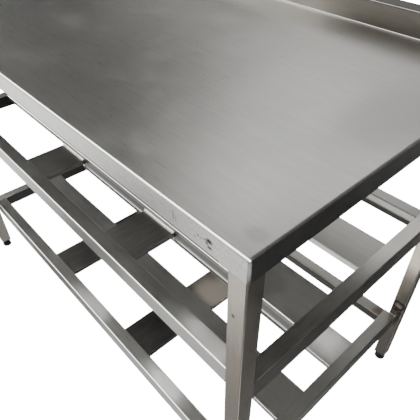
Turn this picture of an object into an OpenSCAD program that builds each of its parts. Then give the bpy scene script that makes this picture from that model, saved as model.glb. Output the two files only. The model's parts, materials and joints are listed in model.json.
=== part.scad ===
// Stainless work table with a rear upstand, four box-tube legs on levelling feet
// and two open lattice shelves.
// Millimetres. X runs along the front edge, the front is -Y, the floor is z = 0,
// and the origin is the middle of the table's footprint.

/* [Overall] */
// Length of the worktop along the front edge
table_l = 1200; // [1000:10:1600]
// Depth from the front edge to the back of the upstand
table_d = 700; // [650:10:800]
// Height of the worktop above the floor
worktop_h = 850; // [800:5:950]

/* [Worktop] */
// Thickness of the folded sheet
sheet_t = 1.5; // [1.2:0.1:2]
// Height of the folded-down front and end edges
fold_h = 36; // [34:1:50]
// Outer radius of every fold in the worktop
fold_r = 4; // [2.5:0.5:5]
// Height of the upstand above the worktop
upstand_h = 50; // [30:5:80]
// Depth of the flat strip on top of the upstand
upstand_d = 43; // [25:1:60]
// Height of the lip that turns down behind the upstand
upstand_lip = 15; // [10:1:25]

/* [Legs and feet] */
// Width of the square leg tube
leg_w = 30; // [25:1:40]
// Wall of the leg tube
leg_wall = 1.5; // [1.2:0.1:2]
// How far the fold stands outside the legs at each end
end_margin = 3; // [2:0.5:6]
// How far the fold stands in front of the front legs
front_margin = 2; // [2:0.5:6]
// How far the worktop runs back past the rear legs
rear_overhang = 72; // [50:1:90]
// Height of the bottom end of the leg tube above the floor
leg_bottom = 28; // [25:1:40]
// Diameter of the foot pad
pad_d = 28; // [24:1:36]
// Diameter of the foot's threaded stud
stud_d = 10; // [8:1:12]
// How far a foot can be screwed out
foot_travel = 20; // [5:1:22]

/* [Shelves] */
// Height of the top of the lower shelf
lower_shelf_h = 200; // [150:5:300]
// Height of the top of the upper shelf
upper_shelf_h = 540; // [450:5:620]
// Thickness of the shelf sheet
shelf_t = 1.5; // [1.2:0.1:2]
// Width of the end rails
rail_w = 30; // [25:1:40]
// Width of the front and rear rails
long_rail_w = 32; // [25:1:40]
// Height of the front and rear rails of each shelf
rail_h = 40; // [36:1:45]
// Height of the outer side of the end rails
end_rail_h = 44; // [36:1:48]
// Height of the inner side of the end rails
end_rail_inner_h = 34; // [30:1:44]
// Height of the inner side of the upper rear rail
upper_rear_inner_h = 29; // [26:1:36]
// Height of the inner side of the lower rear rail
lower_rear_inner_h = 24; // [20:1:36]
// How far the left end rails stand inside the outer faces of the legs
left_inset = 2; // [1:1:18]
// How far the right end rails stand inside the outer faces of the legs
right_inset = 12; // [1:1:18]
// Width of the planks that run along the table
plank_w = 94; // [70:1:100]
// Height of a plank's side lips
plank_lip = 13; // [12:1:16]
// Height of the lips on the upper shelf's front plank
deep_lip = 36; // [30:1:36]
// Width of the slats that run front to back
slat_w = 102; // [70:1:110]
// Height of a slat's side lips
slat_lip = 12; // [8:1:12]
// Distance of each slat from the middle of the table
slat_x = 180; // [150:1:220]
// How far both slats sit to the right of the middle
slat_shift = 8; // [-20:1:20]

/* [Hidden] */

$fn = 48;
eps = 0.01;

// Colours
brushed = [0.72, 0.72, 0.70];
brushed_dark = [0.50, 0.50, 0.49];
satin = [0.62, 0.60, 0.57];
black_plastic = [0.06, 0.06, 0.06];
zinc = [0.70, 0.70, 0.72];

// Worktop
front_y = -table_d / 2;
rear_y = table_d / 2;
bend_y = rear_y - upstand_d;
upstand_top = worktop_h + upstand_h;
under_top = worktop_h - sheet_t;

// Leg centres
leg_x = table_l / 2 - end_margin - leg_w / 2;
leg_front_y = front_y + front_margin + leg_w / 2;
leg_rear_y = rear_y - rear_overhang - leg_w / 2;
leg_top = worktop_h - fold_r;
leg_h = leg_top - leg_bottom;
leg_corner_r = 2.5;

// Tubes and hat sections under the worktop
top_rail_h = 30;
stiffener_w = 60;
stiffener_crown = 30;
stiffener_h = 28;
stiffener_x = table_l / 4;

// Foot: a plastic insert in the leg's end, a pad and a stud that screws in the insert
flange_t = 2;
flange_w = leg_w;
insert_h = 25;
insert_fit = 0.2;
thread_clearance = 0.05;
pad_gap = 2;
pad_h = leg_bottom - flange_t - pad_gap;
pad_base_h = 8;
pad_neck_d = 22;
stud_sink = 12;
stud_spare = 25;
stud_top = pad_h + foot_travel + stud_spare;
stud_chamfer = 1.5;

// Shelf frame, held between the front and the rear legs
frame_front = leg_front_y + leg_w / 2;
frame_rear = leg_rear_y - leg_w / 2;
frame_mid_y = (frame_front + frame_rear) / 2;
frame_depth = frame_rear - frame_front;
leg_outer_x = leg_x + leg_w / 2;
left_rail_x = -leg_outer_x + left_inset + rail_w / 2;
right_rail_x = leg_outer_x - right_inset - rail_w / 2;
inner_l = right_rail_x - left_rail_x - rail_w;
inner_x = (left_rail_x + right_rail_x) / 2;
inner_depth = frame_depth - 2 * long_rail_w;
bend_out_r = 2.5;
plank_spacing = 185;
plank_shift = -3;
slat_drop = plank_lip;
notch_fit = 0.5;
notch_w = slat_w + 2 * notch_fit;
joggle = 2;
joggle_h = 9;
rear_joggle_h = 14;
joggle_back = shelf_t * tan(22.5);

// ---------- Outlines ----------

// A rectangle hanging down from y = 0, with round upper corners
module round_top_2d(w, h, r) {
    translate([-w / 2, -h]) square([w, h - r]);
    translate([-w / 2 + r, -h]) square([w - 2 * r, h]);
    for (side = [-1, 1])
        translate([side * (w / 2 - r), -r]) circle(r);
}

// A channel that is open below, its top at y = 0; the lip on the +x side ends at right_h
module channel_2d(w, h, t, r, right_h) {
    difference() {
        round_top_2d(w, h, r);
        translate([0, -t]) round_top_2d(w - 2 * t, h, r - t);
        translate([w / 2 - t - eps, -h - 1]) square([t + 1, h + 1 - right_h]);
    }
}

// The lower part of a lip whose outer face is at x: it slopes outwards from y = -top by the
// joggle and then runs straight down to y = -bottom
module joggled_lip_2d(x, top, bottom) {
    polygon([
        [x - shelf_t, 1 - top], [x, 1 - top], [x, -top],
        [x + joggle, -top - joggle], [x + joggle, -bottom],
        [x + joggle - shelf_t, -bottom], [x + joggle - shelf_t, -top - joggle - joggle_back],
        [x - shelf_t, -top - joggle_back],
    ]);
}

module round_square_2d(w, r) {
    square([w, w - 2 * r], center = true);
    square([w - 2 * r, w], center = true);
    for (sx = [-1, 1], sy = [-1, 1])
        translate([sx * (w / 2 - r), sy * (w / 2 - r)]) circle(r);
}

module tube_2d(w, wall, r) {
    difference() {
        round_square_2d(w, r);
        round_square_2d(w - 2 * wall, r - wall);
    }
}

// Extrusions centred on the origin: outline x becomes Y or X, outline y becomes Z
module along_x(l) {
    rotate([90, 0, 90]) linear_extrude(l, center = true) children();
}

module along_y(l) {
    rotate([90, 0, 0]) linear_extrude(l, center = true) children();
}

// ---------- Worktop ----------

// Side view of the worktop from front_y to bend_y, inset by d on every side
module top_side_2d(d) {
    r = fold_r - d;
    translate([front_y + d, worktop_h - fold_h - 1]) square([bend_y - front_y, fold_h + 1 - d - r]);
    translate([front_y + d + r, worktop_h - fold_h - 1]) square([bend_y - front_y, fold_h + 1 - d]);
    translate([front_y + d + r, worktop_h - d - r]) circle(r);
}

// Side view of the upstand from bend_y to rear_y, inset by d on every side
module upstand_side_2d(d) {
    translate([(bend_y + rear_y) / 2, upstand_top - d])
        round_top_2d(upstand_d - 2 * d, upstand_h + fold_h, fold_r - d);
}

// The hollow corner at the foot of the upstand
module bend_fillet_2d() {
    r = fold_r - sheet_t;
    translate([bend_y, worktop_h]) difference() {
        translate([-r, -eps]) square([r + eps, r + eps]);
        translate([-r, r]) circle(r);
    }
}

module worktop_side_2d() {
    difference() {
        union() {
            top_side_2d(0);
            upstand_side_2d(0);
            bend_fillet_2d();
        }
        top_side_2d(sheet_t);
        upstand_side_2d(sheet_t);
        translate([bend_y - 20, 0]) square([20 + sheet_t, under_top]);
        translate([front_y - 1, 0]) square([table_d + 2, worktop_h - fold_h]);
        translate([rear_y - 10, 0]) square([20, upstand_top - upstand_lip]);
    }
}

// End fold: closes the side of the worktop and the end of the upstand
module end_plate_2d() {
    intersection() {
        union() {
            top_side_2d(0);
            upstand_side_2d(0);
        }
        translate([front_y - 1, worktop_h - fold_h]) square([table_d + 2, upstand_h + fold_h]);
    }
}

// Where the front fold meets an end fold: the weld inside the corner
module corner_weld(side) {
    r = fold_r - sheet_t;
    translate([side * (table_l / 2 - fold_r), front_y + fold_r, worktop_h - fold_h])
        linear_extrude(fold_h - sheet_t) difference() {
            translate([side > 0 ? 0 : -r - eps, -r - eps]) square(r + eps);
            circle(r);
        }
}

// What is ground away outside the same corner to make it round
module corner_waste(side) {
    size = fold_r + 1;
    translate([side * (table_l / 2 - fold_r), front_y + fold_r, worktop_h - fold_r]) difference() {
        translate([side > 0 ? 0 : -size, -size, -fold_h]) cube([size, size, fold_h + size]);
        sphere(fold_r);
        translate([0, 0, -fold_h - 1]) cylinder(r = fold_r, h = fold_h + 1);
    }
}

module worktop() {
    color(brushed) difference() {
        folded_sheet();
        for (side = [-1, 1]) corner_waste(side);
    }
}

module folded_sheet() {
    intersection() {
        union() {
            along_x(table_l) worktop_side_2d();
            for (side = [-1, 1]) {
                translate([side * (table_l - sheet_t) / 2, 0, 0]) along_x(sheet_t) end_plate_2d();
                corner_weld(side);
            }
        }
        // rounds the two end folds
        union() {
            along_y(table_d + 2) translate([0, worktop_h])
                round_top_2d(table_l, fold_h + 1, fold_r);
            translate([-table_l / 2, bend_y, worktop_h - fold_h])
                cube([table_l, upstand_d, upstand_h + fold_h]);
            translate([-table_l / 2 + fold_r, bend_y - fold_r, worktop_h - fold_r])
                cube([table_l - 2 * fold_r, fold_r, 2 * fold_r]);
        }
    }
}

// ---------- Frame under the worktop ----------

module top_rail_x(y) {
    color(brushed_dark) translate([0, y, under_top - leg_w / 2])
        along_x(2 * leg_x - leg_w) tube_2d(top_rail_h, leg_wall, leg_corner_r);
}

module top_rail_y(x) {
    color(brushed_dark) translate([x, frame_mid_y, under_top - leg_w / 2])
        along_y(frame_depth) tube_2d(top_rail_h, leg_wall, leg_corner_r);
}

// Hat section, its two flanges against the sheet
module stiffener(x) {
    flange = (stiffener_w - stiffener_crown) / 2;
    color(brushed_dark) translate([x, frame_mid_y, under_top]) along_y(frame_depth) {
        rotate(180) translate([0, stiffener_h]) difference() {
            round_top_2d(stiffener_crown, stiffener_h, bend_out_r);
            translate([0, -sheet_t])
                round_top_2d(stiffener_crown - 2 * sheet_t, stiffener_h, bend_out_r - sheet_t);
        }
        for (side = [-1, 1])
            translate([side * (stiffener_crown + flange - sheet_t) / 2, -sheet_t / 2])
                square([flange + sheet_t, sheet_t], center = true);
    }
}

// ---------- Legs and feet ----------

module leg(sx, y) {
    color(satin) translate([sx * leg_x, y, leg_bottom])
        linear_extrude(leg_h) tube_2d(leg_w, leg_wall, leg_corner_r);
}

module insert(sx, y) {
    color(black_plastic) translate([sx * leg_x, y, leg_bottom]) difference() {
        union() {
            translate([0, 0, -flange_t]) linear_extrude(flange_t)
                round_square_2d(flange_w, leg_corner_r);
            linear_extrude(insert_h)
                round_square_2d(leg_w - 2 * leg_wall - 2 * insert_fit, leg_corner_r);
        }
        translate([0, 0, -flange_t - 1])
            cylinder(d = stud_d + 2 * thread_clearance, h = insert_h + flange_t + 2);
    }
}

module pad(sx, y) {
    neck_r = pad_neck_d / 2;
    base_r = pad_d / 2;
    color(black_plastic) translate([sx * leg_x, y, 0]) difference() {
        rotate_extrude() polygon([
            [0, 0], [base_r - 1.5, 0], [base_r, 1.5], [base_r, pad_base_h],
            [base_r - 1, pad_base_h + 2], [neck_r, pad_h - 3], [neck_r, pad_h - 0.8],
            [neck_r - 0.8, pad_h], [0, pad_h],
        ]);
        translate([0, 0, pad_h - stud_sink]) cylinder(d = stud_d, h = stud_sink + 1);
    }
}

module stud(sx, y) {
    r = stud_d / 2;
    color(zinc) translate([sx * leg_x, y, 0]) rotate_extrude() polygon([
        [0, pad_h - stud_sink], [r, pad_h - stud_sink], [r, stud_top - stud_chamfer],
        [r - stud_chamfer, stud_top], [0, stud_top],
    ]);
}

// ---------- Shelves ----------

module rail_front(z) {
    color(brushed) translate([inner_x, frame_front + long_rail_w / 2, z])
        along_x(inner_l) channel_2d(long_rail_w, rail_h, shelf_t, bend_out_r, rail_h);
}

module rail_rear(z, inner_h) {
    color(brushed) translate([inner_x, frame_rear - long_rail_w / 2, z])
        along_x(inner_l) mirror([1, 0])
            channel_2d(long_rail_w, rail_h, shelf_t, bend_out_r, inner_h);
}

// Rear rail whose inner side steps out near the bottom
module rail_rear_stepped(z, inner_h) {
    step_top = inner_h - rear_joggle_h;
    rail_rear(z, step_top);
    color(brushed) translate([inner_x, frame_rear - long_rail_w / 2, z])
        along_x(inner_l) mirror([1, 0]) joggled_lip_2d(long_rail_w / 2, step_top, inner_h);
}

module rail_end(side, z) {
    color(brushed_dark) translate([side > 0 ? right_rail_x : left_rail_x, frame_mid_y, z])
        along_y(frame_depth) intersection() {
            channel_2d(rail_w, end_rail_h, shelf_t, bend_out_r, end_rail_h);
            union() {
                translate([-rail_w, -end_rail_inner_h]) square([2 * rail_w, end_rail_inner_h]);
                translate([side > 0 ? 0 : -rail_w, -end_rail_h]) square([rail_w, end_rail_h]);
            }
        }
}

function plank_y(row) = frame_mid_y + plank_shift + row * plank_spacing / 2;

module plank(row, z) {
    color(brushed_dark) translate([inner_x, plank_y(row), z])
        along_x(inner_l) channel_2d(plank_w, plank_lip, shelf_t, bend_out_r, plank_lip);
}

// Plank with deep lips that step outwards near the bottom. The lips are notched over the
// slats, and stay shallow from the left slat to the left end.
module deep_plank(row, z) {
    step_w = plank_w + 2 * joggle;
    step_top = deep_lip - joggle_h;
    color(brushed_dark) translate([0, plank_y(row), z]) difference() {
        translate([inner_x, 0, 0]) {
            along_x(inner_l) channel_2d(plank_w, step_top, shelf_t, bend_out_r, step_top);
            along_x(inner_l) joggled_lip_2d(plank_w / 2, step_top, deep_lip);
            mirror([0, 1, 0]) along_x(inner_l) joggled_lip_2d(plank_w / 2, step_top, deep_lip);
        }
        for (side = [-1, 1])
            translate([slat_shift + side * slat_x - notch_w / 2, -step_w / 2 - 1, -deep_lip - 1])
                cube([notch_w, step_w + 2, deep_lip + 1 - slat_drop]);
        translate([-table_l / 2, -step_w / 2 - 1, -deep_lip - 1])
            cube([table_l / 2 + slat_shift - slat_x, step_w + 2, deep_lip + 1 - slat_drop]);
    }
}

// rear_cut shortens the slat at its rear end
module slat(side, z, rear_cut) {
    color(brushed_dark)
        translate([slat_shift + side * slat_x, frame_mid_y - rear_cut / 2, z - slat_drop])
            along_y(inner_depth - rear_cut) channel_2d(slat_w, slat_lip, shelf_t, bend_out_r, slat_lip);
}

// ---------- Placement ----------

worktop();
top_rail_x(leg_front_y);  // top_rail_front
top_rail_x(leg_rear_y);  // top_rail_rear
top_rail_y(-leg_x);  // top_rail_left
top_rail_y(leg_x);  // top_rail_right
stiffener(-stiffener_x);  // top_stiffener_left
stiffener(0);  // top_stiffener_mid
stiffener(stiffener_x);  // top_stiffener_right
leg(-1, leg_front_y);  // leg_front_left
leg(1, leg_front_y);  // leg_front_right
leg(-1, leg_rear_y);  // leg_rear_left
leg(1, leg_rear_y);  // leg_rear_right
insert(-1, leg_front_y);  // insert_front_left
insert(1, leg_front_y);  // insert_front_right
insert(-1, leg_rear_y);  // insert_rear_left
insert(1, leg_rear_y);  // insert_rear_right
pad(-1, leg_front_y);  // pad_front_left
pad(1, leg_front_y);  // pad_front_right
pad(-1, leg_rear_y);  // pad_rear_left
pad(1, leg_rear_y);  // pad_rear_right
stud(-1, leg_front_y);  // stud_front_left
stud(1, leg_front_y);  // stud_front_right
stud(-1, leg_rear_y);  // stud_rear_left
stud(1, leg_rear_y);  // stud_rear_right
rail_front(upper_shelf_h);  // upper_rail_front
rail_rear_stepped(upper_shelf_h, upper_rear_inner_h);  // upper_rail_rear
rail_end(-1, upper_shelf_h);  // upper_rail_left
rail_end(1, upper_shelf_h);  // upper_rail_right
deep_plank(-1, upper_shelf_h);  // upper_plank_front
plank(1, upper_shelf_h);  // upper_plank_rear
slat(-1, upper_shelf_h, joggle);  // upper_slat_left
slat(1, upper_shelf_h, joggle);  // upper_slat_right
rail_front(lower_shelf_h);  // lower_rail_front
rail_rear(lower_shelf_h, lower_rear_inner_h);  // lower_rail_rear
rail_end(-1, lower_shelf_h);  // lower_rail_left
rail_end(1, lower_shelf_h);  // lower_rail_right
plank(-1, lower_shelf_h);  // lower_plank_front
plank(1, lower_shelf_h);  // lower_plank_rear
slat(-1, lower_shelf_h, 0);  // lower_slat_left
slat(1, lower_shelf_h, 0);  // lower_slat_right
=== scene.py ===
import json
import math

import bmesh
import bpy
from mathutils import Euler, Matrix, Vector


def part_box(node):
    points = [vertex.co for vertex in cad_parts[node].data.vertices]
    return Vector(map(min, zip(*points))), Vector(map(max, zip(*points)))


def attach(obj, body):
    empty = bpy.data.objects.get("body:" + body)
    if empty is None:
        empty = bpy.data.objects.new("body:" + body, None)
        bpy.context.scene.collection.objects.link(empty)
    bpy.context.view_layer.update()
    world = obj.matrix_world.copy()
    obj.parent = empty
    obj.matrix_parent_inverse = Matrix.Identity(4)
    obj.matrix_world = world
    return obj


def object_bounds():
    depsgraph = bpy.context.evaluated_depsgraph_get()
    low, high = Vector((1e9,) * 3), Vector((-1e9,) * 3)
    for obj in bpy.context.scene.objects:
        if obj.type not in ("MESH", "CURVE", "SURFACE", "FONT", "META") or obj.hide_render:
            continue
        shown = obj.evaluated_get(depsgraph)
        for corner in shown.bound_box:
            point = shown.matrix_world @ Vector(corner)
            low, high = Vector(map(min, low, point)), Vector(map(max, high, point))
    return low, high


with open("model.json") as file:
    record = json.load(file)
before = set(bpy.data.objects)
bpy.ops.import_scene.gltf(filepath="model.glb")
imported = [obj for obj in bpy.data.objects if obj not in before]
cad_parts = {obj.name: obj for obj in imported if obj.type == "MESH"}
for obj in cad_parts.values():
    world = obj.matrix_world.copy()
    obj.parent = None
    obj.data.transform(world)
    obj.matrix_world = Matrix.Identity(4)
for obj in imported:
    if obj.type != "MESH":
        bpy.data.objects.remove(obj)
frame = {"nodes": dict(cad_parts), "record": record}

cad_low, cad_high = [list(map(float, c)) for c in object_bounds()]

# ---------------------------------------------------------------- node helpers

# cosines between which a surface starts to count, and fully counts, as facing a direction
FACING_RANGE = (0.75, 0.97)
# a blob's soft edge, in half sizes, how ragged that edge is, and how wide a ring is
BLOB_RANGE = (0.65, 1.4)
BLOB_RAGGED = 0.8
RING_WIDTH = 0.28


class Graph:
    """Short calls for building one material's node tree."""

    def __init__(self, name):
        self.material = bpy.data.materials.new(name)
        self.material.use_nodes = True
        self.tree = self.material.node_tree
        self.tree.nodes.clear()
        self.out = self.node("ShaderNodeOutputMaterial")
        self.coord = self.node("ShaderNodeTexCoord").outputs["Object"]

    def node(self, kind, **settings):
        n = self.tree.nodes.new(kind)
        for key, value in settings.items():
            setattr(n, key, value)
        return n

    def put(self, socket, value):
        if isinstance(value, bpy.types.NodeSocket):
            self.tree.links.new(value, socket)
        else:
            socket.default_value = value

    def math(self, op, a, b=0.0):
        n = self.node("ShaderNodeMath", operation=op)
        self.put(n.inputs[0], a)
        self.put(n.inputs[1], b)
        return n.outputs[0]

    def mapped(self, scale, offset=(0, 0, 0)):
        n = self.node("ShaderNodeMapping")
        self.put(n.inputs["Vector"], self.coord)
        n.inputs["Scale"].default_value = scale
        n.inputs["Location"].default_value = offset
        return n.outputs[0]

    def noise(self, vector, scale=1.0, detail=3.0, rough=0.5):
        n = self.node("ShaderNodeTexNoise")
        self.put(n.inputs["Vector"], vector)
        n.inputs["Scale"].default_value = scale
        n.inputs["Detail"].default_value = detail
        n.inputs["Roughness"].default_value = rough
        return n.outputs["Fac"]

    def ramp(self, value, low, high, to_low=0.0, to_high=1.0):
        n = self.node("ShaderNodeMapRange", clamp=True, interpolation_type="SMOOTHSTEP")
        self.put(n.inputs["Value"], value)
        for key, v in (("From Min", low), ("From Max", high), ("To Min", to_low), ("To Max", to_high)):
            n.inputs[key].default_value = v
        return n.outputs[0]

    def mix(self, factor, a, b):
        n = self.node("ShaderNodeMix", data_type="RGBA")
        self.put(n.inputs[0], factor)
        self.put(n.inputs[6], a)
        self.put(n.inputs[7], b)
        return n.outputs[2]

    def axes(self):
        n = self.node("ShaderNodeSeparateXYZ")
        self.put(n.inputs[0], self.coord)
        return n.outputs

    def blob(self, centre, size, ring=0.0):
        """1 inside an ellipsoid of the given half sizes, 0 outside it, with a ragged edge.

        With ring above 0 only a band round that share of the half sizes is left."""
        scale = tuple(1.0 / s for s in size)
        offset = tuple(-c / s for c, s in zip(centre, size))
        n = self.node("ShaderNodeVectorMath", operation="LENGTH")
        self.put(n.inputs[0], self.mapped(scale, offset))
        ragged = self.noise(self.coord, 1.2 / max(size), 3.0, 0.6)
        reach = self.math("ADD", n.outputs["Value"], self.math("MULTIPLY", ragged, BLOB_RAGGED))
        if ring:
            off = self.math("ABSOLUTE", self.math("SUBTRACT", reach, ring + BLOB_RAGGED / 2))
            return self.ramp(off, 0.0, RING_WIDTH, 1.0, 0.0)
        return self.ramp(reach, *BLOB_RANGE, 1.0, 0.0)

    def profile(self, axis, stops):
        """Colour along one axis: stops is a list of (position, colour)."""
        low, high = stops[0][0], stops[-1][0]
        n = self.node("ShaderNodeMapRange", clamp=True)
        self.put(n.inputs["Value"], self.axes()[axis])
        n.inputs["From Min"].default_value = low
        n.inputs["From Max"].default_value = high
        ramp = self.node("ShaderNodeValToRGB")
        self.put(ramp.inputs["Fac"], n.outputs[0])
        points = ramp.color_ramp.elements
        points[0].position, points[1].position = 0.0, 1.0
        for place, _ in stops[1:-1]:
            points.new((place - low) / (high - low))
        for point, (_, colour) in zip(points, stops):
            point.color = (*colour, 1.0)
        return ramp.outputs["Color"]

    def multiply(self, a, b, factor=1.0):
        n = self.node("ShaderNodeMix", data_type="RGBA", blend_type="MULTIPLY")
        self.put(n.inputs[0], factor)
        self.put(n.inputs[6], a)
        self.put(n.inputs[7], b)
        return n.outputs[2]

    def patch(self, low, high, soft):
        """1 inside a box whose edges are soft; None leaves that side open."""
        inside = 1.0
        for axis in range(3):
            if low[axis] is not None:
                edge = self.ramp(self.axes()[axis], low[axis] - soft, low[axis] + soft)
                inside = self.math("MULTIPLY", edge, inside)
            if high[axis] is not None:
                edge = self.ramp(self.axes()[axis], high[axis] - soft, high[axis] + soft, 1.0, 0.0)
                inside = self.math("MULTIPLY", edge, inside)
        return inside

    def dot(self, vector, direction):
        n = self.node("ShaderNodeVectorMath", operation="DOT_PRODUCT")
        self.put(n.inputs[0], vector)
        n.inputs[1].default_value = direction
        return n.outputs["Value"]

    def facing(self, direction):
        """1 where the surface faces the given way, 0 elsewhere."""
        normal = self.node("ShaderNodeNewGeometry").outputs["True Normal"]
        return self.ramp(self.dot(normal, direction), *FACING_RANGE)

    def finish(self, shader, bump=None):
        """Connects the shader, and a bump given as (height, strength, distance)."""
        if bump:
            height, strength, distance = bump
            n = self.node("ShaderNodeBump")
            n.inputs["Strength"].default_value = strength
            n.inputs["Distance"].default_value = distance
            self.put(n.inputs["Height"], height)
            self.put(shader.inputs["Normal"], n.outputs[0])
        self.put(self.out.inputs["Surface"], shader.outputs[0])
        return self.material


sheet_z = frame["record"]["mounts"][0]["pos_m"][2]


def stretched(along, across):
    """Noise scales for a grain along X, Y or Z: coarse along it, fine across it."""
    return {axis: tuple(along if a == axis else across for a in "XYZ") for axis in "XYZ"}


# noise of the steel's grain, its longer streaks and its duller areas
GRAIN_SCALE = stretched(26.0, 680.0)
STREAK_SCALE = stretched(3.0, 130.0)
STREAK_OFFSET = (3.1, 1.7, 5.3)
BLOTCH_SCALE = (17.0, 17.0, 17.0)
BLOTCH_OFFSET = (9.0, 4.0, 2.0)
# how much of the grain is fine, and how much of the noise's range the two tones span
FINE_SHARE = 0.68
TONE_SPREAD = 0.28
# soil and marks, and the depth of the bumps in metres
SOIL_STRENGTH = 0.35
SOIL_DARKENS = 0.72
SPECKLE_SCALE = 650.0
MARK_ROUGHNESS = 0.25
GRAIN_DEPTH = 0.00025
PIT_DEPTH = 0.0002
WEAR_SCALE = (160.0, 160.0, 260.0)


def steel(name, grain, tones, rough, smudge, marks=(), bump=0.12, profiles=(), faces=(), patches=(),
          speckle=0.0):
    """Brushed stainless steel with its grain along one axis, between a light and a dark tone.

    Its marks, a list of (centre, half sizes, colour, strength) with a ring's radius as a fifth value
    where the mark is a ring, are stains and some painted highlights. These multiply the colour with
    painted reflection, highlight and shade: profiles, a list of (axis, stops, direction); faces, a list
    of (direction, colour); and patches, a list of (low, high, soft, colour, direction), where a
    direction of None means all directions.
    speckle darkens dots on the front of anything below the worktop's surface."""
    light, dark = tones
    g = Graph(name)
    fine = g.noise(g.mapped(GRAIN_SCALE[grain]), 1.0, 4.0, 0.65)
    streak = g.noise(g.mapped(STREAK_SCALE[grain], STREAK_OFFSET), 1.0, 3.0, 0.6)
    cloud = g.noise(g.coord, 5.0, 3.0, 0.55)
    blotch = g.noise(g.mapped(BLOTCH_SCALE, BLOTCH_OFFSET), 1.0, 4.0, 0.6)

    lines = g.math("ADD", g.math("MULTIPLY", fine, FINE_SHARE), g.math("MULTIPLY", streak, 1 - FINE_SHARE))
    tone = g.ramp(lines, 0.5 - TONE_SPREAD, 0.5 + TONE_SPREAD)
    base = g.mix(tone, (*dark, 1.0), (*light, 1.0))
    soil = g.math("MULTIPLY", g.ramp(cloud, 0.42, 0.75), smudge)
    base = g.mix(g.math("MULTIPLY", soil, SOIL_STRENGTH), base, (*[c * SOIL_DARKENS for c in dark], 1.0))
    roughness = g.math("ADD", g.math("MULTIPLY", fine, 0.16), rough - 0.08)
    roughness = g.math("ADD", roughness, g.math("MULTIPLY", g.ramp(blotch, 0.45, 0.8), 0.10 * smudge))
    if speckle:
        dots = g.ramp(g.noise(g.coord, SPECKLE_SCALE, 2.0, 0.6), 0.36, 0.64, 1.0 - speckle, 1.0)
        below_top = g.patch((None, None, None), (None, None, sheet_z), 0.001)
        where = g.math("MULTIPLY", g.facing(FRONT), below_top)
        base = g.multiply(base, g.mix(dots, (0, 0, 0, 1), (1, 1, 1, 1)), where)
    for axis, stops, direction in profiles:
        base = g.multiply(base, g.profile(axis, stops), g.facing(direction))
    for direction, factor in faces:
        base = g.multiply(base, (*factor, 1.0), g.facing(direction))
    for patch_low, patch_high, soft, factor, direction in patches:
        inside = g.patch(patch_low, patch_high, soft)
        if direction:
            inside = g.math("MULTIPLY", inside, g.facing(direction))
        base = g.multiply(base, (*factor, 1.0), inside)
    for centre, size, mark_colour, strength, *ring in marks:
        spot = g.math("MULTIPLY", g.blob(centre, size, *ring), strength)
        base = g.mix(spot, base, (*mark_colour, 1.0))
        roughness = g.math("ADD", roughness, g.math("MULTIPLY", spot, MARK_ROUGHNESS))

    shader = g.node("ShaderNodeBsdfPrincipled")
    shader.inputs["Metallic"].default_value = 1.0
    g.put(shader.inputs["Base Color"], base)
    g.put(shader.inputs["Roughness"], roughness)
    height = g.math("ADD", fine, g.math("MULTIPLY", streak, 0.8))
    return g.finish(shader, (height, bump, GRAIN_DEPTH))


def plastic(name, colour, rough):
    """Moulded plastic with fine pits, paler where it is worn."""
    g = Graph(name)
    pits = g.noise(g.coord, 1400.0, 2.0, 0.5)
    wear = g.noise(g.mapped(WEAR_SCALE), 1.0, 4.0, 0.6)
    worn = [c * 2.2 + 0.01 for c in colour]
    base = g.mix(g.ramp(wear, 0.45, 0.8), (*colour, 1.0), (*worn, 1.0))
    shader = g.node("ShaderNodeBsdfPrincipled")
    shader.inputs["Specular IOR Level"].default_value = 0.25
    g.put(shader.inputs["Base Color"], base)
    g.put(shader.inputs["Roughness"], g.math("ADD", g.math("MULTIPLY", wear, 0.25), rough - 0.12))
    return g.finish(shader, (pits, 0.2, PIT_DEPTH))


# ---------------------------------------------------------------- materials on the CAD nodes

# each steel's tones: (light, dark)
GREY = ((0.62, 0.62, 0.60), (0.48, 0.48, 0.465))
END_GREY = ((0.60, 0.59, 0.57), (0.46, 0.45, 0.43))
WARM = ((0.60, 0.565, 0.51), (0.45, 0.42, 0.37))
# painted light: the rear legs' paler copy of the legs' warm tone
LIT_WARM = ((0.70, 0.67, 0.63), (0.54, 0.51, 0.47))
DULL = ((0.42, 0.42, 0.41), (0.31, 0.31, 0.30))
SATIN = ((0.54, 0.54, 0.525), (0.42, 0.42, 0.405))
# painted shade: the slats' tones are darkened steel, darker still on the lower shelf
SHADED_SLAT = ((0.25, 0.243, 0.232), (0.16, 0.155, 0.148))
SHADED_LOWER_SLAT = ([c * 0.5 for c in SHADED_SLAT[0]], [c * 0.42 for c in SHADED_SLAT[1]])
WELD = ((0.34, 0.32, 0.30), (0.18, 0.165, 0.15))
# painted highlight: the pale tone of the weld fillets beside the upper slats
LIT_FILLET = ((0.80, 0.80, 0.78), (0.62, 0.62, 0.60))
ZINC = ((0.66, 0.66, 0.67), (0.50, 0.50, 0.51))
STAIN = (0.045, 0.04, 0.035)
RED_TINT = (0.045, 0.018, 0.014)
WHITE = (1.0, 1.0, 1.0)
INSERT_BLACK = (0.006, 0.006, 0.006)
PAD_BLACK = (0.005, 0.005, 0.005)

# roughness
BRUSHED, SATIN_ROUGH, SLAT_ROUGH, ZINC_ROUGH, FILLET_ROUGH = 0.30, 0.36, 0.38, 0.26, 0.28

UP, RIGHT, FRONT, BACK = (0, 0, 1), (1, 0, 0), (0, -1, 0), (0, 1, 0)
FRONT_BEND = (0, -0.7071, 0.7071)
UPSTAND_BEND = (0, -0.5, 0.866)
Y, Z = 1, 2
OPEN = (None, None)


def grey(level):
    return (level, level, level)


def high(node):
    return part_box(node)[1]


def low(node):
    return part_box(node)[0]


def shade(colour, direction, soft, x=OPEN, y=OPEN, z=OPEN):
    """A patch of painted shade or painted highlight for steel(), between the given limits along each axis.
    """
    lows, highs = zip(x, y, z)
    return lows, highs, soft, colour, direction


fold_z = low("worktop")[2]
shelf_z = high("upper_plank_front")[2]
lip_z = low("upper_plank_front")[2]
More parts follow.
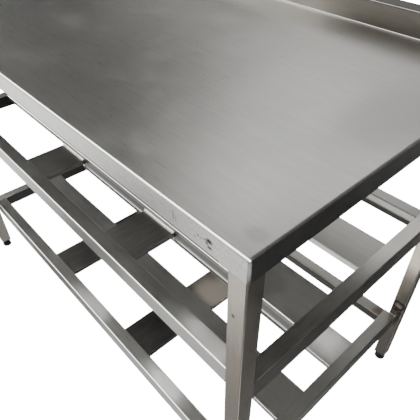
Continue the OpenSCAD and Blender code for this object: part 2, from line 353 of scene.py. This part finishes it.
# the outer face of the upper front plank's front lip, and a place just behind that lip
RAIL_TO_LIP = 0.1085
lip_y = high("upper_rail_front")[1] + RAIL_TO_LIP
behind_lip = lip_y + 0.008
# heights that tell the two shelves apart, and a place between the two rows of planks
BETWEEN_SHELVES = 0.45
ABOVE_LOWER_SHELF = 0.21
BETWEEN_PLANKS = -0.05
UPSTAND_FACE = 0.3040

# marks and painted highlights: centre, half sizes, colour, strength, and for a ring its radius
top_marks_and_glint = [
    # small dark marks on the front fold near the corner
    ((0.5400, -0.35, 0.8350), (0.0082, 0.006, 0.0050), STAIN, 1.0),
    ((0.5362, -0.35, 0.8300), (0.0040, 0.006, 0.0030), STAIN, 0.8),
    ((0.5412, -0.35, 0.8255), (0.0060, 0.006, 0.0034), STAIN, 0.9),
    ((0.5325, -0.35, 0.8325), (0.0028, 0.006, 0.0020), STAIN, 0.6),
    ((0.5270, -0.35, 0.8312), (0.0026, 0.006, 0.0018), STAIN, 0.55),
    ((0.5218, -0.35, 0.8318), (0.0034, 0.006, 0.0026), STAIN, 0.6),
    ((0.5165, -0.35, 0.8270), (0.0034, 0.006, 0.0024), STAIN, 0.5),
    ((0.4784, -0.35, 0.8330), (0.0018, 0.006, 0.014), STAIN, 0.55),
    ((0.4830, -0.35, 0.8290), (0.0016, 0.006, 0.009), STAIN, 0.45),
    # a smudge on the top near the corner, and a painted highlight down the corner's edge
    ((0.5780, -0.3170, 0.85), (0.020, 0.016, 0.006), (0.34, 0.34, 0.33), 0.45),
    ((0.5985, -0.3485, 0.834), (0.0038, 0.0038, 0.020), (0.95, 0.95, 0.94), 0.8),
    # a duller area near the right end
    ((0.5400, 0.0300, 0.85), (0.090, 0.200, 0.010), (0.40, 0.40, 0.39), 0.55),
]
# two small spots on the right front leg
leg_marks = [
    ((0.5785, -0.348, 0.7400), (0.0035, 0.004, 0.0045), STAIN, 0.8),
    ((0.5779, -0.348, 0.5489), (0.0030, 0.004, 0.0035), STAIN, 0.35),
]
# heat tint round the weld behind the lower shelf's rear right corner
rear_leg_marks = [
    ((0.5835, 0.248, 0.2390), (0.0110, 0.006, 0.0090), (0.34, 0.30, 0.29), 0.9),
    ((0.5835, 0.248, 0.2430), (0.0230, 0.006, 0.0190), (0.018, 0.014, 0.012), 1.0, 0.62),
    ((0.5800, 0.248, 0.2240), (0.0110, 0.006, 0.0060), RED_TINT, 0.95),
    ((0.5910, 0.248, 0.2170), (0.0080, 0.006, 0.0050), RED_TINT, 0.9),
]
# painted highlights: glints along the tops of the front rails
front_rail_glints = [
    ((0.4900, -0.300, 0.540), (0.120, 0.040, 0.004), (0.80, 0.80, 0.78), 0.60),
    ((0.0200, -0.302, 0.200), (0.100, 0.040, 0.004), (0.75, 0.75, 0.73), 0.45),
    ((0.3300, -0.302, 0.200), (0.100, 0.040, 0.004), (0.85, 0.85, 0.83), 0.60),
]
rear_rail_marks = [((0.5480, 0.232, 0.2000), (0.020, 0.024, 0.010), (0.12, 0.08, 0.06), 0.7)]
# a painted highlight on the top of the lower rear plank
plank_sheen = [((0.5000, 0.058, 0.200), (0.075, 0.060, 0.008), (0.95, 0.95, 0.93), 0.85)]
# painted light: a paler, warmer patch on the tops of the lower slats
lower_slat_sheen = [((0.2000, -0.0300, 0.187), (0.095, 0.085, 0.012), (0.52, 0.47, 0.41), 0.75)]

# painted highlight and shade along one axis; stops: position along the axis, colour
# painted shade on the front legs' front faces, darker towards the floor
front_leg_shade_stops = [
    (0.50, (0.32, 0.295, 0.265)), (0.53, (0.335, 0.31, 0.28)), (0.66, (0.48, 0.455, 0.42)),
    (0.78, WHITE), (0.86, WHITE)]
# painted highlight and shade along the rear legs' front faces
rear_leg_light_stops = [
    (0.02, (0.16, 0.155, 0.15)), (0.20, (0.18, 0.172, 0.165)), (0.29, (0.26, 0.25, 0.235)),
    (0.335, (0.36, 0.345, 0.325)), (0.36, (0.62, 0.60, 0.57)), (0.39, (1.3, 1.27, 1.2)),
    (0.46, (1.3, 1.27, 1.2)), (0.55, WHITE), (0.86, WHITE)]
# painted shade on the worktop's right end fold, darker towards the front
end_fold_shade_stops = [
    (-0.35, grey(0.41)), (-0.24, grey(0.52)), (-0.05, grey(0.70)), (0.20, grey(0.78)),
    (0.35, grey(0.78))]
# painted highlight and shade along the top of the upper right end rail
upper_end_light_stops = [
    (-0.35, grey(0.40)), (-0.244, grey(0.45)), (-0.093, grey(0.84)), (-0.03, grey(0.74)),
    (0.04, grey(1.05)), (0.10, grey(1.35)), (0.30, grey(1.2))]
# painted highlight and shade along the outer side of the upper right end rail
upper_side_light_stops = [
    (-0.35, grey(0.42)), (-0.15, grey(0.52)), (0.0, grey(0.78)), (0.15, WHITE), (0.30, WHITE)]

top_painted_shade = [
    # painted reflection of the upstand: the top darker at its right end, in front of the upstand
    shade((0.26, 0.248, 0.232), UP, 0.068, x=(0.24, None), y=(0.238, None)),
    # painted shade on the bends at the foot and at the top of the upstand
    shade(grey(0.24), UPSTAND_BEND, 0.0006, y=(UPSTAND_FACE, None), z=(None, sheet_z + 0.004)),
    shade(grey(0.20), FRONT_BEND, 0.0006, y=(UPSTAND_FACE, None), z=(sheet_z + 0.045, None)),
    # painted shade on the upstand's face, darker towards the right, and on the strip on top of it
    shade((0.30, 0.285, 0.262), FRONT, 0.0010, y=(0.28, None), z=(sheet_z + 0.0020, None)),
    shade(grey(0.38), FRONT, 0.08, x=(0.20, None), y=(0.28, None), z=(sheet_z - 0.1, None)),
    shade((0.74, 0.72, 0.69), UP, 0.0010, y=(0.30, None), z=(sheet_z + 0.03, None)),
    # a painted shadow line along the lower edge of the front fold
    shade(grey(0.25), None, 0.0006, x=(None, 0.556), y=(None, -0.345), z=(None, fold_z + 0.0022)),
]
plank_painted_light = [
    # painted highlights on the fold along the upper front plank, and on the upper rear plank's front lip
    shade(grey(1.75), FRONT_BEND, 0.0004, y=(None, behind_lip), z=(shelf_z - 0.003, None)),
    shade(grey(2.6), FRONT, 0.0004, y=(BETWEEN_PLANKS, 0.03), z=(BETWEEN_SHELVES, None)),
    # painted shade on the upper front plank's deep lip: its bends, its face, and the bands along it
    shade(grey(0.55), FRONT_BEND, 0.0004, y=(None, behind_lip), z=(BETWEEN_SHELVES, shelf_z - 0.010)),
    shade(grey(0.68), FRONT, 0.0004, y=(None, behind_lip), z=(BETWEEN_SHELVES, None)),
    shade(grey(0.62), FRONT, 0.0015, y=(None, behind_lip), z=(shelf_z - 0.022, shelf_z - 0.010)),
    shade(grey(0.30), FRONT, 0.0006, y=(None, behind_lip), z=(BETWEEN_SHELVES, lip_z + 0.0075)),
    # painted shade on the top of the lower front plank, and a painted highlight on the upper front plank
    # towards the left
    shade(grey(0.60), UP, 0.0004, y=(None, BETWEEN_PLANKS), z=(None, ABOVE_LOWER_SHELF)),
    shade(grey(1.35), UP, 0.08, x=(None, -0.25), y=(None, BETWEEN_PLANKS), z=(BETWEEN_SHELVES, None)),
]

materials = {
    # painted light on the front fold, and painted shade along the end fold
    "worktop": steel(
        "worktop_steel", "X", GREY, BRUSHED, 0.6, top_marks_and_glint, 0.10, patches=top_painted_shade,
        profiles=[(Y, end_fold_shade_stops, RIGHT)], faces=[(FRONT, grey(1.22))], speckle=0.22),
    # painted shade on the front rails' tops, and painted highlights on their front bends
    "rail_front": steel(
        "rail_steel_front", "X", GREY, BRUSHED, 0.6, front_rail_glints,
        faces=[(UP, grey(0.60)), (FRONT_BEND, grey(1.6))], speckle=0.2),
    # painted shade on its top, and darker painted shade on its lower part
    "rail_rear_upper": steel(
        "rail_steel_rear_upper", "X", GREY, BRUSHED, 0.6, faces=[(UP, grey(0.70))],
        patches=[shade(grey(0.10), None, 0.0010, z=(None, 0.5235))]),
    # painted shade on its top and on its front face
    "rail_rear_lower": steel(
        "rail_steel_rear_lower", "X", GREY, BRUSHED, 0.6, rear_rail_marks,
        faces=[(UP, (0.62, 0.60, 0.57)), (FRONT, (0.10, 0.095, 0.09))]),
    # painted highlight and shade along its top and its outer side
    "rail_upper_right": steel(
        "rail_steel_upper_right", "Y", END_GREY, BRUSHED, 0.8,
        profiles=[(Y, upper_end_light_stops, UP), (Y, upper_side_light_stops, RIGHT)]),
    # painted shade on its outer side and on its top
    "rail_lower_right": steel(
        "rail_steel_lower_right", "Y", END_GREY, BRUSHED, 0.8,
        faces=[(RIGHT, grey(0.76)), (UP, grey(0.75))]),
    # painted shade on the left end rails' sides that face right
    "rail_left": steel(
        "rail_steel_left", "Y", END_GREY, BRUSHED, 0.8, faces=[(RIGHT, grey(0.12))]),
    # painted shade on the planks' front and back faces
    "plank": steel(
        "plank_steel", "X", SATIN, SATIN_ROUGH, 0.8, plank_sheen,
        faces=[(FRONT, grey(0.62)), (BACK, grey(0.5))], patches=plank_painted_light),
    # a painted reflection of the front plank's lip on the slats' tops beside it
    "slat_upper": steel(
        "slat_steel_upper", "Y", SHADED_SLAT, SLAT_ROUGH, 0.8,
        patches=[shade(grey(2.6), UP, 0.001, y=(lip_y - 0.006, lip_y + 0.004))]),
    # painted shade on the lower slats' tops towards the right
    "slat_lower": steel(
        "slat_steel_lower", "Y", SHADED_LOWER_SLAT, SLAT_ROUGH, 0.8, lower_slat_sheen,
        patches=[shade(grey(0.62), UP, 0.02, x=(0.05, None))]),
    "under_x": steel("underframe_steel_x", "X", DULL, SATIN_ROUGH, 0.6),
    "under_y": steel("underframe_steel_y", "Y", DULL, SATIN_ROUGH, 0.6),
    # painted shade on the front legs' right-facing sides and along their fronts
    "leg_front": steel(
        "leg_steel_front", "Z", WARM, BRUSHED, 1.0, leg_marks,
        profiles=[(Z, front_leg_shade_stops, FRONT)], faces=[(RIGHT, grey(0.72))]),
    # painted highlight and shade along the rear legs' fronts
    "leg_rear": steel(
        "leg_steel_rear", "Z", LIT_WARM, BRUSHED, 1.0, rear_leg_marks,
        profiles=[(Z, rear_leg_light_stops, FRONT)]),
    "stud": steel("stud_steel", "Z", ZINC, ZINC_ROUGH, 0.4),
    "weld": steel("weld_steel", "Y", WELD, SATIN_ROUGH, 1.0, bump=0.3),
    "fillet": steel("fillet_steel", "X", LIT_FILLET, FILLET_ROUGH, 0.4),
    "insert": plastic("insert_plastic", INSERT_BLACK, 0.50),
    "pad": plastic("pad_plastic", PAD_BLACK, 0.46),
}


def kind_of(node):
    """The key in materials for a CAD node, from its name."""
    if node.startswith("top_"):
        return "under_x" if node in ("top_rail_front", "top_rail_rear") else "under_y"
    if node.startswith("leg"):
        return "leg_front" if "front" in node else "leg_rear"
    for start in ("worktop", "stud", "insert", "pad"):
        if node.startswith(start):
            return start
    level, part, place = node.split("_")
    if part == "plank":
        return "plank"
    if part == "slat":
        return "slat_" + level
    if place == "front":
        return "rail_front"
    if place == "left":
        return "rail_left"
    return "rail_%s_%s" % (place, level) if place == "rear" else "rail_%s_right" % level


for node, obj in frame["nodes"].items():
    obj.data.materials.clear()
    obj.data.materials.append(materials[kind_of(node)])

# ---------------------------------------------------------------- welds


def add_object(name, bm, material, smooth):
    for f in bm.faces:
        f.smooth = smooth
    mesh = bpy.data.meshes.new(name)
    bm.to_mesh(mesh)
    bm.free()
    mesh.materials.append(material)
    obj = bpy.data.objects.new(name, mesh)
    bpy.context.scene.collection.objects.link(obj)
    return obj


def piece(name, bm, material, smooth=True):
    bmesh.ops.recalc_face_normals(bm, faces=bm.faces)
    obj = add_object(name, bm, materials[material], smooth)
    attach(obj, "frame")


def quarter(steps):
    """Angles from 0 to a quarter turn."""
    return [math.pi / 2 * i / steps for i in range(steps + 1)]


def add_prism(bm, near, far):
    """A closed solid between two outlines with the same number of points."""
    near, far = [[bm.verts.new(point) for point in outline] for outline in (near, far)]
    for i in range(len(near)):
        n = (i + 1) % len(near)
        bm.faces.new((near[i], near[n], far[n], far[i]))
    bm.faces.new(near)
    bm.faces.new(list(reversed(far)))


def add_seam(bm, x, side, y_low, y_high, top, r):
    """Weld metal, ground flush, that fills the round edge of an end rail at x.

    side is the direction from the joint to the end rail."""
    outline = [(x, top - SEAM_SINK), (x + side * r, top - SEAM_SINK)]
    for angle in quarter(SEAM_STEPS)[1:]:
        outline.append((x + side * r * (1 - math.sin(angle)), top - r + r * math.cos(angle)))
    add_prism(bm, *[[(px, y, pz) for px, pz in outline] for y in (y_low, y_high)])


def add_bead(bm, points, radius):
    """A weld bead swept along a line of points that all have the same y.

    Its size and place vary along the line, like a weld laid by hand, and it narrows at both ends."""
    points = [Vector(p) for p in points]
    samples = []
    for a, b in zip(points, points[1:]):
        steps = max(1, round((b - a).length / (radius * BEAD_STEP)))
        samples += [a.lerp(b, i / steps) for i in range(steps)]
    samples.append(points[-1])
    rings = []
    for i, centre in enumerate(samples):
        ahead, behind = samples[min(i + 1, len(samples) - 1)], samples[max(i - 1, 0)]
        tangent = (ahead - behind).normalized()
        side = tangent.cross(Vector((0, 1, 0)))
        end = min(1.0, (min(i, len(samples) - 1 - i) + 0.6) / 3.0)
        lump = 0.78 + 0.16 * abs(math.sin(i * 0.62)) + 0.08 * math.sin(i * 0.173 + centre.x * 60)
        size = radius * lump * math.sqrt(end)
        sway = radius * 0.12 * math.sin(i * 0.31 + centre.z * 50)
        ring = []
        for k in range(BEAD_SIDES):
            turn = 2 * math.pi * k / BEAD_SIDES
            ring.append(bm.verts.new(centre + side * (size * math.cos(turn) + sway)
                                     + Vector((0, size * math.sin(turn), 0))))
        rings.append(ring)
    for near, far in zip(rings, rings[1:]):
        for k in range(BEAD_SIDES):
            n = (k + 1) % BEAD_SIDES
            bm.faces.new((near[k], near[n], far[n], far[k]))
    bm.faces.new(list(reversed(rings[0])))
    bm.faces.new(rings[-1])


# the outer radius of the shelf sheet's bends, as in the CAD
BEND_R = 0.0025
BEND_STEPS = 6
# how far a ground seam lies below the shelf's surface
SEAM_SINK = 0.00015
SEAM_STEPS = 8
# a bead's radius, the distance between its rings in radii, and its number of sides
BEAD_R = 0.0017
BEAD_STEP = 0.3
BEAD_SIDES = 12
# the fillets between the upper slats and the front plank's lip, made pale as a painted highlight
SLAT_TOP = shelf_z - 0.013
FILLET_R = 0.003
FILLET_STEPS = 10
FILLET_INSET = 0.001

for level in ("upper", "lower"):
    for side_name, side in (("left", -1), ("right", 1)):
        end_rail = "%s_rail_%s" % (level, side_name)
        rail_low, rail_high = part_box(end_rail)
        inner_x = rail_low[0] if side > 0 else rail_high[0]
        bm = bmesh.new()
        for long_node in ("rail_front", "plank_front", "plank_rear", "rail_rear"):
            part_low, part_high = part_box("%s_%s" % (level, long_node))
            add_seam(bm, inner_x, side, part_low[1] + BEND_R, part_high[1] - BEND_R, rail_high[2], BEND_R)
        piece("%s_seams_%s" % (level, side_name), bm, "plank", False)

        leg_low, leg_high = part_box("leg_front_%s" % side_name)
        back_y = low("leg_rear_%s" % side_name)[1]
        outer_x = rail_high[0] if side > 0 else rail_low[0]
        leg_inner_x = leg_low[0] if side > 0 else leg_high[0]
        for end, y in (("front", leg_high[1]), ("rear", back_y)):
            path = [(leg_inner_x, y, rail_high[2])]
            for turn in quarter(BEND_STEPS):
                path.append((outer_x - side * BEND_R * (1 - math.sin(turn)), y,
                             rail_high[2] - BEND_R * (1 - math.cos(turn))))
            path.append((outer_x, y, rail_low[2] + BEND_R))
            bm = bmesh.new()
            add_bead(bm, path, BEAD_R)
            piece("%s_weld_%s_%s" % (level, end, side_name), bm, "weld")

for side_name in ("left", "right"):
    slat_low, slat_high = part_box("upper_slat_" + side_name)
    outline = [(lip_y, SLAT_TOP)]
    for turn in quarter(FILLET_STEPS):
        outline.append((lip_y - FILLET_R * math.cos(turn), SLAT_TOP + FILLET_R * math.sin(turn)))
    ends = (slat_low[0] + FILLET_INSET, slat_high[0] - FILLET_INSET)
    bm = bmesh.new()
    add_prism(bm, *[[(x, y, z) for y, z in outline] for x in ends])
    piece("upper_fillet_" + side_name, bm, "fillet", False)

# ---------------------------------------------------------------- stage, light and camera


def floor_material():
    g = Graph("floor_paint")
    speck = g.noise(g.coord, 3.0, 3.0, 0.5)
    shader = g.node("ShaderNodeBsdfPrincipled")
    g.put(shader.inputs["Base Color"], g.mix(speck, (0.86, 0.86, 0.86, 1), (0.90, 0.90, 0.90, 1)))
    shader.inputs["Roughness"].default_value = 0.9
    shader.inputs["Emission Color"].default_value = (1, 1, 1, 1)
    shader.inputs["Emission Strength"].default_value = FLOOR_GLOW
    return g.finish(shader)


def dome_material():
    """What the steel mirrors: a dim room with a few broad soft lights, each a lobe round one direction."""
    g = Graph("dome_light")
    direction = g.node("ShaderNodeVectorMath", operation="NORMALIZE")
    g.put(direction.inputs[0], g.coord)
    level = ROOM_LEVEL
    for axis, wide, narrow, gain in ROOM_LIGHTS:
        towards = g.dot(direction.outputs[0], Vector(axis).normalized())
        level = g.math("ADD", g.math("MULTIPLY", g.ramp(towards, wide, narrow), gain), level)
    # the strip light runs along X, so only the part of the direction across X counts
    across = g.node("ShaderNodeVectorMath", operation="MULTIPLY")
    g.put(across.inputs[0], direction.outputs[0])
    across.inputs[1].default_value = (0, 1, 1)
    unit = g.node("ShaderNodeVectorMath", operation="NORMALIZE")
    g.put(unit.inputs[0], across.outputs[0])
    towards = g.dot(unit.outputs[0], Vector(STRIP_DIRECTION).normalized())
    strip = g.math("MULTIPLY", g.ramp(towards, STRIP_START, STRIP_FULL), STRIP_GAIN)
    length = g.node("ShaderNodeVectorMath", operation="LENGTH")
    g.put(length.inputs[0], across.outputs[0])
    strip = g.math("MULTIPLY", strip, g.ramp(length.outputs["Value"], *STRIP_FADE))
    level = g.math("ADD", level, strip)

    shader = g.node("ShaderNodeEmission")
    shader.inputs["Color"].default_value = (1.0, 0.99, 0.97, 1)
    g.put(shader.inputs["Strength"], level)
    return g.finish(shader)


ROOM_LEVEL = 0.045
# direction, cosine where the light starts, cosine where it is full, strength
ROOM_LIGHTS = [
    ((-0.51, 0.50, 0.70), 0.980, 0.998, 1.10),
    ((-0.03, 0.99, 0.16), 0.592, 1.000, 0.19),
    ((-0.36, 0.71, 0.61), 0.945, 0.980, 0.76),
    ((-0.71, 0.70, 0.03), 0.931, 0.971, 0.74),
    ((-0.90, -0.35, -0.26), 0.907, 0.995, 2.14),
    ((-0.42, -0.75, -0.51), 0.869, 0.992, 0.91),
    ((-0.24, -0.48, -0.85), 0.897, 0.946, 0.70),
    ((-0.10, 0.22, -0.97), 0.857, 0.916, 0.26),
    ((-0.26, 0.69, 0.675), 0.985, 0.998, 0.50),
    ((0.79, 0.146, -0.596), 0.950, 0.985, 0.75),
    ((0.32, -0.30, -0.90), 0.980, 0.997, 2.60),
    ((-0.45, -0.85, -0.10), 0.800, 0.970, 0.45),
    ((-0.46, 0.72, 0.52), 0.985, 0.999, 0.30),
]
# a long light in front of the table: its direction across the table's length, and how wide it is
STRIP_DIRECTION = (0.0, -0.53, 0.848)
STRIP_START, STRIP_FULL, STRIP_GAIN = 0.866, 0.961, 9.0
STRIP_FADE = (0.25, 0.42)
FLOOR_GLOW = 16.0
WORLD_LEVEL = 1.2

FLOOR_SIZE = 60.0
DOME_RADIUS = 12.0
BACKDROP_RADIUS = 29.0

white_paint = floor_material()
bm = bmesh.new()
bmesh.ops.create_grid(bm, x_segments=1, y_segments=1, size=FLOOR_SIZE / 2)
floor = add_object("floor", bm, white_paint, False)
floor.location = (0, 0, cad_low[2])
floor.visible_glossy = False
floor.visible_diffuse = False


def sphere(name, radius, material):
    """A large sphere round the scene, seen from inside, that gives the table no diffuse light."""
    bm = bmesh.new()
    bmesh.ops.create_icosphere(bm, subdivisions=4, radius=radius)
    bmesh.ops.reverse_faces(bm, faces=bm.faces)
    obj = add_object(name, bm, material, True)
    obj.visible_diffuse = False
    obj.visible_shadow = False
    obj.visible_transmission = False
    return obj


# the first is what only the steel's reflections see, the second the white background of other views
dome = sphere("reflection_dome", DOME_RADIUS, dome_material())
dome.visible_camera = False
backdrop = sphere("backdrop", BACKDROP_RADIUS, white_paint)
backdrop.visible_glossy = False

world = bpy.data.worlds.new("studio")
bpy.context.scene.world = world
world.use_nodes = True
background = world.node_tree.nodes["Background"]
background.inputs["Color"].default_value = (1, 1, 1, 1)
background.inputs["Strength"].default_value = WORLD_LEVEL


def area(name, location, power):
    """A soft round light aimed at the middle of the table."""
    light = bpy.data.lights.new(name, "AREA")
    light.shape = "DISK"
    light.size = LIGHT_SIZE
    light.energy = power
    obj = bpy.data.objects.new(name, light)
    obj.location = location
    obj.rotation_euler = (Vector(LIGHT_TARGET) - Vector(location)).to_track_quat("-Z", "Y").to_euler()
    obj.visible_glossy = False
    bpy.context.scene.collection.objects.link(obj)


LIGHT_SIZE = 3.0
LIGHT_TARGET = (0, 0, 0.4)
area("soft_key", (-2.2, -2.6, 3.4), 160)
area("soft_fill", (2.8, 1.8, 3.0), 80)

# fitted to the photo: metres, degrees and millimetres
CAMERA_PLACE = (0.80493, -0.58564, 1.18351)
CAMERA_ANGLES = (49.378, 0.394, 47.763)
CAMERA_LENS, CAMERA_SENSOR = 39.58, 36.0

camera_data = bpy.data.cameras.new("camera")
camera_data.sensor_width = CAMERA_SENSOR
camera_data.lens = CAMERA_LENS
camera = bpy.data.objects.new("camera", camera_data)
camera.location = CAMERA_PLACE
camera.rotation_euler = Euler([math.radians(a) for a in CAMERA_ANGLES], "XYZ")
bpy.context.scene.collection.objects.link(camera)
bpy.context.scene.camera = camera
